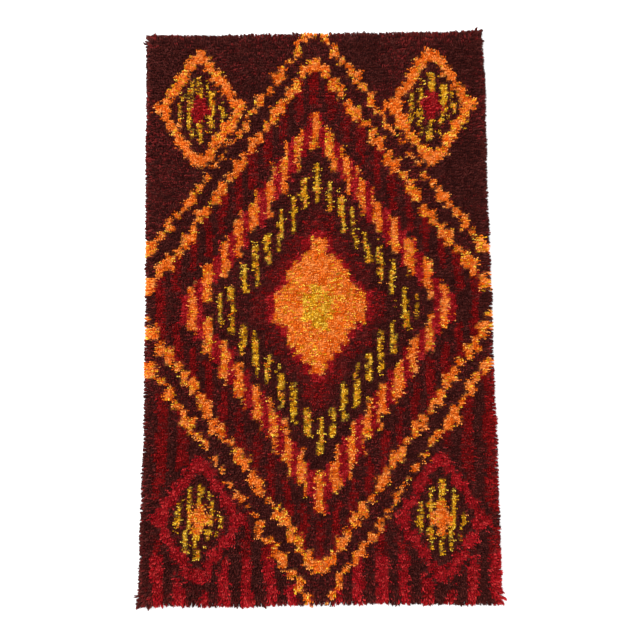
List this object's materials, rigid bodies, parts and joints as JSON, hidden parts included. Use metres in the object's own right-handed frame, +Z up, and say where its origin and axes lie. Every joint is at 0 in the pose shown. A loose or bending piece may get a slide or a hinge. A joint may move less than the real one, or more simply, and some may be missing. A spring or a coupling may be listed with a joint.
{
  "type": "wool pile rug",
  "caption": "Rectangular wool rug with a deep shaggy pile, lying flat, with yarn locks leaning out all round its rim",
  "frame": {"origin": "on the floor, under the middle of the rug", "axes": "+X across the rug, +Y along it to its head, +Z up"},
  "size_m": [0.8638, 1.4118, 0.031],
  "materials": {
    "wool_pile": "matte dyed wool yarn"
  },
  "bodies": {
    "root": {"rug": "wool_pile"}
  },
  "joints": []
}
